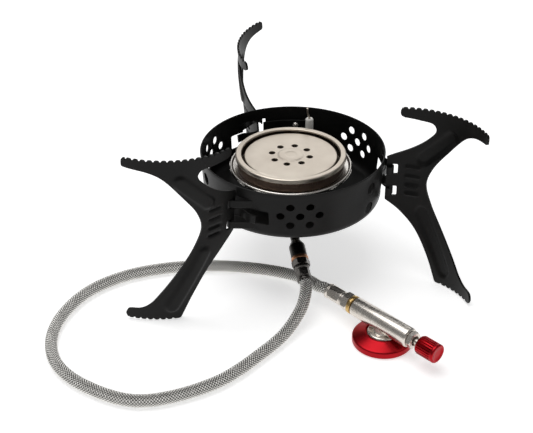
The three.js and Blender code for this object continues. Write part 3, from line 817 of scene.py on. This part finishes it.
def bent_leg(flat):
    """Presses the dents, rolls the plate to its curve and leans it."""
    bm = bmesh.new()
    bm.from_mesh(flat)
    for vert in bm.verts:
        s, z, depth = vert.co
        spot, heading = leg_plan(s)
        across = Vector((-math.sin(heading), math.cos(heading)))
        spot = spot + across * (pressed_in(Vector((s, z))) - depth)
        vert.co = (spot.x, spot.y, z)
    return lean(joined(bm, leg_tab()))


def legs():
    flat = flat_leg()
    for name, azimuth in LEG_AZIMUTHS.items():
        plate = at_azimuth(swung(bent_leg(flat.data), LEG_SWING[name]), azimuth)
        piece(name + "_plate", plate, BLACK, [name], "legs", body=name, sharp=40, bevel=0.22)
    bpy.data.objects.remove(flat)


# --------------------------------------------------------------------- burner
def on_burner(bm):
    return moved(bm, Matrix.Translation(BURNER))


def burner():
    pan = ring([(6.8, 69.6), (33, 69.6), (36.6, 72.6), (36.6, 77.4), (41.1, 77.4), (42.5, 77.7),
                (42.7, 79.2), (41.7, 80.4), (40.7, 79.8), (40.3, 78.6), (35.8, 78.6), (35.8, 73),
                (32.7, 70.5), (6.8, 70.5)], 0.6, 160)
    piece("burner_pan_shell", on_burner(pan), BRIGHT, ["burner_pan"], "burner_steel")
    top = ring([(34.3, 86.9), (37.6, 86.9), (37.6, 85.4), (38.4, 85.4), (38.4, 87.9), (37.7, 88.5),
                (34.7, 88.5), (34.3, 88.1)], 0.35, 160)
    piece("burner_top_ring", on_burner(top), SATIN, ["top_ring"], "burner_steel")
    # Painted shade: the band's dark colour stands for the shade in its ports.
    piece("burner_side_band", on_burner(fluted_band()), BAND_IN_PAINTED_SHADE, ["side_band"], "heated_steel")
    cap = to_object("cap", solid_turn([
        (0, 85.4), (31.4, 85.4), (31.4, 83.5), (32.2, 83.5), (32.2, 86.3), (31.6, 86.7), (24, 86.7),
        (17.6, 86.75), (16.8, 86.75), (9.4, 86.75), (8, 87.2), (4.6, 87.3), (3.2, 87.05),
        (0, 87)], 0.5, 160))
    holes = []
    for i in range(8):
        angle = math.radians(33.6 + 45 * i)
        hole = solid_turn([(0, 80), (2.3, 80), (2.3, 95), (0, 95)], 0.01, 40)
        holes.append(moved(hole, Matrix.Translation((13.3 * math.cos(angle),
                                                     13.3 * math.sin(angle), 0))))
    boolean(cap, joined(*holes))
    cap.data.transform(Matrix.Translation(BURNER))
    cap.name = "burner_cap_disc"
    finish(cap, SATIN, ["burner_cap"], "burner_steel", bevel=0.12)


def fluted_band():
    """The side band: a thin wall with fine upright flutes, in steel darkened with painted shade that
    stands for its ports.
    """
    flutes = 180
    steps = flutes * 4
    bm = bmesh.new()
    levels = [(0.0, 78.95), (0.0, 80.4), (1.0, 80.9), (1.0, 85.9), (0.0, 86.4), (0.0, 86.6)]
    outer, wall = 37.0, 0.6
    loops = []
    for depth, z in levels:
        loops.append([bm.verts.new((*circle_point(outer - 0.28 * depth * flute(i, 4), i, steps),
                                    z)) for i in range(steps)])
    for depth, z in reversed(levels):
        loops.append([bm.verts.new((*circle_point(outer - wall, i, steps), z))
                      for i in range(steps)])
    loops.append(loops[0])
    for low, high in zip(loops, loops[1:]):
        for i in range(steps):
            j = (i + 1) % steps
            bm.faces.new((low[i], low[j], high[j], high[i]))
    return bm


def flute(index, per_flute):
    return 0.5 + 0.5 * math.cos(2 * math.pi * index / per_flute)


def circle_point(radius, index, steps):
    angle = 2 * math.pi * index / steps
    return radius * math.cos(angle), radius * math.sin(angle)


# ------------------------------------------------------------- feed and valve
def sleeve(low, high, radius):
    """A sleeve crimped to six flats, with a round collar and groove at each end."""
    dip = radius - 0.7
    flat = radius * 0.89
    bm = ring([(1.4, low), (radius, low), (radius, low + 1.5), (dip, low + 2.1),
               (dip, low + 2.7), (radius, low + 3.1), (radius, high - 3.1), (dip, high - 2.7),
               (dip, high - 2.1), (radius, high - 1.5), (radius, high), (1.4, high)], 0.3, 96)
    for vert in bm.verts:
        if low + 2.6 < vert.co.z < high - 2.6:
            from_flat = (math.atan2(vert.co.y, vert.co.x) % (math.pi / 3)) - math.pi / 6
            reach = math.hypot(vert.co.x, vert.co.y)
            if reach > dip:
                squeeze = min(reach, flat / math.cos(from_flat)) / reach
                vert.co.x *= squeeze
                vert.co.y *= squeeze
    return bm


def chamfered_hex(across_flats, low, high):
    """A hexagon whose corners are turned off at both ends, as on any nut."""
    nut = to_object("nut", prism(hexagon(across_flats), low, high))
    tip = across_flats / 2 / math.cos(math.pi / 6)
    cone = solid_turn([(0, low - 0.01), (tip - 0.7, low - 0.01), (tip + 0.1, low + 0.8),
                       (tip + 0.1, high - 0.8), (tip - 0.7, high + 0.01), (0, high + 0.01)],
                      0.01, 96)
    boolean(nut, cone, "INTERSECT")
    bm = bmesh.new()
    bm.from_mesh(nut.data)
    bpy.data.objects.remove(nut)
    return bm


def hose_nut(low, high, nipple_low, nipple_high, across_flats):
    nipple = ring([(1.4, nipple_low), (2.9, nipple_low), (2.9, nipple_high),
                   (1.4, nipple_high)], 0.3, 48)
    return joined(chamfered_hex(across_flats, low, high), nipple)


def feed_line():
    pot = ring([(5.2, 48.3), (5.2, 53.6), (6.7, 53.6), (6.7, 41), (2.35, 41), (2.35, 48.3)],
               0.4, 96)
    arm = solid_turn([(0, 8), (3.25, 8), (3.25, 33.3), (5.65, 37.6), (5.65, 46.8), (3.2, 46.8),
                      (3.2, 40), (0, 40)], 0.5, 96)
    body = joined(on_burner(pot), along(arm, FEED_START, FEED_DIR))
    # Painted shade: the jet holder's nickel is darkened for the shade beneath the bowl.
    piece("jet_holder", body, NICKEL_IN_DEEP_SHADE, ["jet_body"], "jet_body")
    seal = ring([(3.2, 47.1), (6, 47.1), (6, 49.4), (3.2, 49.4)], 0.5, 72)
    piece("feed_copper_seal", along(seal, FEED_START, FEED_DIR), COPPER, ["feed_seal"], "copper")
    # Painted shade: the nut and crimp sleeve are nickel darkened for the shade beneath the bowl.
    nut = hose_nut(49.7, 54.3, 40, 50, 11.2)
    piece("feed_hose_nut", along(nut, FEED_START, FEED_DIR), NICKEL_IN_SHADE, ["feed_nut"], "nickel",
          bevel=0.15)
    crimp = sleeve(54.6, 65.6, 5.2)
    piece("feed_crimp_sleeve", along(crimp, FEED_START, FEED_DIR), NICKEL_IN_SHADE, ["feed_sleeve"],
          "nickel")


def on_valve(bm):
    return along(bm, VALVE_START, VALVE_DIR)


def on_disc(bm):
    spot = VALVE_START + VALVE_DIR * DISC_AT
    return moved(bm, Matrix.Translation((spot.x, spot.y, 0)))


def knurled_knob():
    """A knob with straight ridges and a plain end collar."""
    ridges = 24
    steps = ridges * 8
    bm = bmesh.new()
    rows = [(2.5, 82.0, 0), (5.4, 82.0, 0), (5.9, 82.35, 0), (6.2, 82.9, 0), (6.5, 83.5, 1),
            (6.5, 93.9, 1), (6.3, 94.4, 0), (6.5, 94.9, 0), (6.5, 96.1, 0), (6.3, 96.6, 0),
            (5.7, 96.9, 0), (4.8, 96.9, 0), (4.4, 96.5, 0), (2.0, 96.45, 0)]
    loops = []
    for radius, z, cut in rows:
        loop = []
        for i in range(steps):
            sink = 0.85 * cut * max(0.0, math.cos(2 * math.pi * i / 8)) ** 1.2
            loop.append(bm.verts.new((*circle_point(radius - sink, i, steps), z)))
        loops.append(loop)
    for low, high in zip(loops, loops[1:]):
        for i in range(steps):
            j = (i + 1) % steps
            bm.faces.new((low[i], low[j], high[j], high[i]))
    bm.faces.new(list(reversed(loops[0])))
    bm.faces.new(loops[-1])
    return bm


def valve():
    made = []

    def add(name, bm, mat, stands_for, slot, **how):
        made.append(piece(name, bm, mat, stands_for, slot, **how))

    add("valve_crimp_sleeve", on_valve(sleeve(0.5, 16, 5.4)), NICKEL, ["valve_sleeve"], "nickel")
    add("valve_hose_nut", on_valve(hose_nut(16.3, 21.5, 16.6, 32, 11.4)), NICKEL, ["valve_nut"],
        "nickel", bevel=0.15)
    seal = ring([(3.2, 21.8), (6.5, 21.8), (6.5, 24.8), (3.2, 24.8)], 0.7, 72)
    add("valve_brass_seal", on_valve(seal), BRASS, ["valve_seal"], "brass")
    barrel = ring([(3.2, 25.1), (5.6, 25.1), (6.7, 26.2), (6.7, 73), (6, 74), (4.6, 74),
                   (4.6, 65), (3.2, 60)], 0.4, 128)
    hub = ring([(5.56, 1.2), (10.3, 1.2), (10.3, 7.9), (9.6, 8.6), (6.4, 9), (6.4, 13),
                (5.56, 9.5)], 0.4, 96)
    add("valve_barrel", joined(on_valve(barrel), on_disc(hub)), NICKEL, ["valve_body"], "nickel")
    disc = ring([(10.6, 2.8), (16.6, 2.8), (17.4, 0), (19.6, 0), (20.2, 0.6), (20.2, 4.2),
                 (19.7, 4.8), (18.9, 5.2), (12.6, 7.4), (11.8, 7.75), (10.6, 7.8)], 0.35, 160)
    add("connector_ring", on_disc(disc), RED, ["connector_disc"], "red_anodised")
    gland = to_object("gland", chamfered_hex(10.4, 74.3, 77.8))
    recess = solid_turn([(0, 73), (2.4, 73), (2.4, 75.2), (3.5, 75.2), (3.5, 80), (0, 80)], 0.01, 48)
    boolean(gland, recess)
    bm = bmesh.new()
    bm.from_mesh(gland.data)
    bpy.data.objects.remove(gland)
    add("valve_gland_nut", on_valve(bm), NICKEL, ["gland_nut"], "nickel", bevel=0.12)
    stem = solid_turn([(0, 52.5), (0.6, 52.5), (1.9, 56), (1.9, 64.8), (2.3, 65), (2.3, 90),
                       (0, 90)], 0.2, 64)
    add("valve_stem", on_valve(stem), NICKEL, ["spindle"], "burner_steel", body="valve_knob")
    add("valve_knob_grip", on_valve(knurled_knob()), RED, ["knob"], "red_anodised",
        body="valve_knob", sharp=50)
    return made


# -------------------------------------------------------------------- igniter
def igniter():
    ceramic = ring([(1, 62), (2.1, 62), (2.1, 74.5), (3.4, 74.5), (3.4, 76.3), (2.9, 77),
                    (2.9, 89.4), (2.1, 90.4), (1, 90.4)], 0.3, 64)
    piece("igniter_insulator", moved(ceramic, Matrix.Translation(IGNITER)), CERAMIC,
          ["igniter_ceramic"], "ceramic")
    path = [outward(168 + (201 - 168) * i / 40) * STRIP_R for i in range(41)]
    band = strip([Vector((p.x, p.y)) for p in path], 1, 73, 81.8)
    corners = [(6.8, 42.5), (16.8, 42.5), (16.8, 59), (6.8, 59)]
    shelf = prism([(p.x, p.y) for p in rounded(corners, 1.2, closed=True)], 73, 74.2)
    holder = to_object("holder", shelf)
    hole = solid_turn([(0, 60), (2.4, 60), (2.4, 80), (0, 80)], 0.01, 40)
    boolean(holder, moved(hole, Matrix.Translation(IGNITER)))
    bm = bmesh.new()
    bm.from_mesh(holder.data)
    bpy.data.objects.remove(holder)
    piece("igniter_strip", joined(band, bm), BLACK, ["igniter_bracket"], "bowl", bevel=0.15)
    head = solid_turn([(0, 57.9), (1.0, 58.0), (1.2, 58.4), (1.6, 58.1), (2.2, 58.7), (2.3, 59.9),
                       (0, 59.9)], 0.25, 64)
    tail = solid_turn([(0, 63.4), (2.1, 63.4), (1.8, 64.1), (0, 64.4)], 0.25, 48)
    shank = solid_turn([(0, 59.9), (1.3, 59.9), (1.3, 64), (0, 64)], 0.05, 32)
    rivet = along(joined(head, shank, tail), Vector((0, 0, RIVET_Z)), outward(RIVET_AZIMUTH))
    piece("igniter_rivet_head", rivet, BRIGHT, ["igniter_rivet"], "burner_steel")


def small_pieces():
    """CAD pieces whose own shape is right get a finished material."""
    for mat, names in ((SATIN, ("mixing_tube", "lock_nut", "diffuser", "igniter_wire",
                                "piezo_screw")),
                       (BRASS, ("jet", "valve_pin")),
                       (RUBBER, ("connector_seal", "spindle_seal", "igniter_lead")),
                       (PLASTIC, ("piezo_housing", "piezo_button"))):
        for name in names:
            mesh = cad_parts[name].data
            mesh.materials.clear()
            mesh.materials.append(mat)


# ----------------------------------------------------------- floor and lights
def studio():
    floor = bpy.data.meshes.new("floor")
    reach = 6
    floor.from_pydata([(-reach, -reach, 0), (reach, -reach, 0), (reach, reach, 0),
                       (-reach, reach, 0)], [], [(0, 1, 2, 3)])
    obj = bpy.data.objects.new("floor", floor)
    obj.location.z = -0.0002
    bpy.context.scene.collection.objects.link(obj)
    white = material("floor_paper", (0.93, 0.93, 0.93), 0.0, 0.9, 0.0)
    grain = noise(white, place(white), 300, 3)
    link(white, tint(white, grain, (0.925, 0.925, 0.925), (0.935, 0.935, 0.935)),
         shader_of(white).inputs["Base Color"])
    shader_of(white).inputs["Emission Color"].default_value = (1, 1, 1, 1)
    shader_of(white).inputs["Emission Strength"].default_value = 0.55
    floor.materials.append(white)

    world = bpy.data.worlds.new("studio")
    bpy.context.scene.world = world
    world.use_nodes = True
    world.node_tree.nodes["Background"].inputs["Color"].default_value = (1, 1, 1, 1)
    world.node_tree.nodes["Background"].inputs["Strength"].default_value = 0.22

    for name, spot, size, power in (("top", (-0.3, 0.0, 1.3), 1.1, 9),
                                    ("back", (0.1, 1.5, 0.75), 1.3, 4.6)):
        light = bpy.data.lights.new(name, "AREA")
        light.size = size
        light.energy = power
        lamp = bpy.data.objects.new(name, light)
        bpy.context.scene.collection.objects.link(lamp)
        lamp.location = spot
        lamp.rotation_mode = "QUATERNION"
        lamp.rotation_quaternion = (Vector((0, 0, 0.05)) - Vector(spot)).to_track_quat("-Z", "Y")
    bpy.context.scene.view_settings.view_transform = "Standard"


# ------------------------------------------------------------------- assembly
make_camera()
hose, hose_path, hose_length = braided_hose()
valve_pieces = valve()
bowl()
legs()
burner()
feed_line()
igniter()
small_pieces()
studio()
